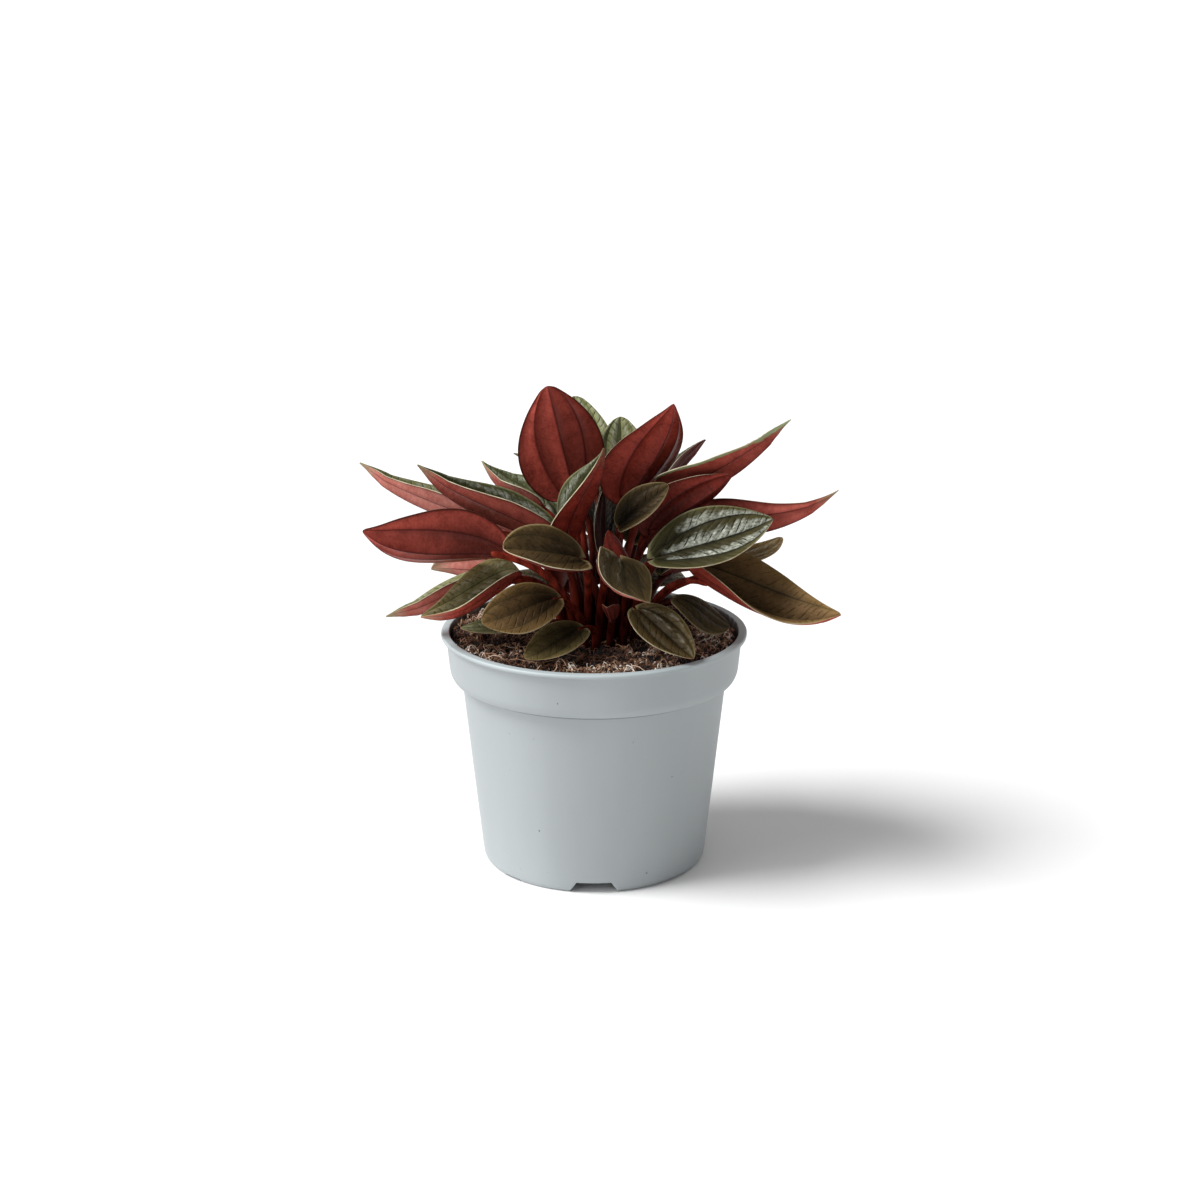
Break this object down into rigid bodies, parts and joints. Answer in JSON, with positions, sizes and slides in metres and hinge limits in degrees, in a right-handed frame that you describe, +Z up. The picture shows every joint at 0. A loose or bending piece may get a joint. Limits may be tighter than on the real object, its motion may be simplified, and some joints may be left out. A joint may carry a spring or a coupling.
{
  "type": "ripple peperomia in a pot",
  "caption": "Lance-leaved ripple peperomia with corrugated red-backed leaves, planted in a round plastic nursery pot that stands on a notched foot.",
  "frame": {"origin": "on the pot's axis, in the plane that its feet stand on", "axes": "+Z up out of the pot, -Y the front, +X to the right as seen from the front"},
  "size_m": [0.1851, 0.12, 0.189],
  "materials": {
    "pot": "matte moulded polypropylene, pale blue-grey",
    "soil": "rough, dark red-brown coir and peat",
    "leaf": "fleshy leaf, satin, dark green above and red beneath"
  },
  "bodies": {
    "root": {"pot": "pot", "soil": "soil", "leaf_01": "leaf", "leaf_02": "leaf", "leaf_03": "leaf", "leaf_04": "leaf", "leaf_05": "leaf", "leaf_06": "leaf", "leaf_07": "leaf", "leaf_08": "leaf", "leaf_09": "leaf", "leaf_10": "leaf", "leaf_11": "leaf", "leaf_12": "leaf", "leaf_13": "leaf", "leaf_14": "leaf", "leaf_15": "leaf", "leaf_16": "leaf", "leaf_17": "leaf", "leaf_18": "leaf", "leaf_19": "leaf", "leaf_20": "leaf", "leaf_21": "leaf", "leaf_22": "leaf", "leaf_23": "leaf", "leaf_24": "leaf", "leaf_25": "leaf", "leaf_26": "leaf", "leaf_27": "leaf", "leaf_28": "leaf", "leaf_29": "leaf", "leaf_30": "leaf", "leaf_31": "leaf", "leaf_32": "leaf", "leaf_33": "leaf", "leaf_34": "leaf", "leaf_35": "leaf", "leaf_36": "leaf", "leaf_37": "leaf", "leaf_38": "leaf", "leaf_39": "leaf", "leaf_40": "leaf", "leaf_41": "leaf", "leaf_42": "leaf"}
  },
  "joints": []
}
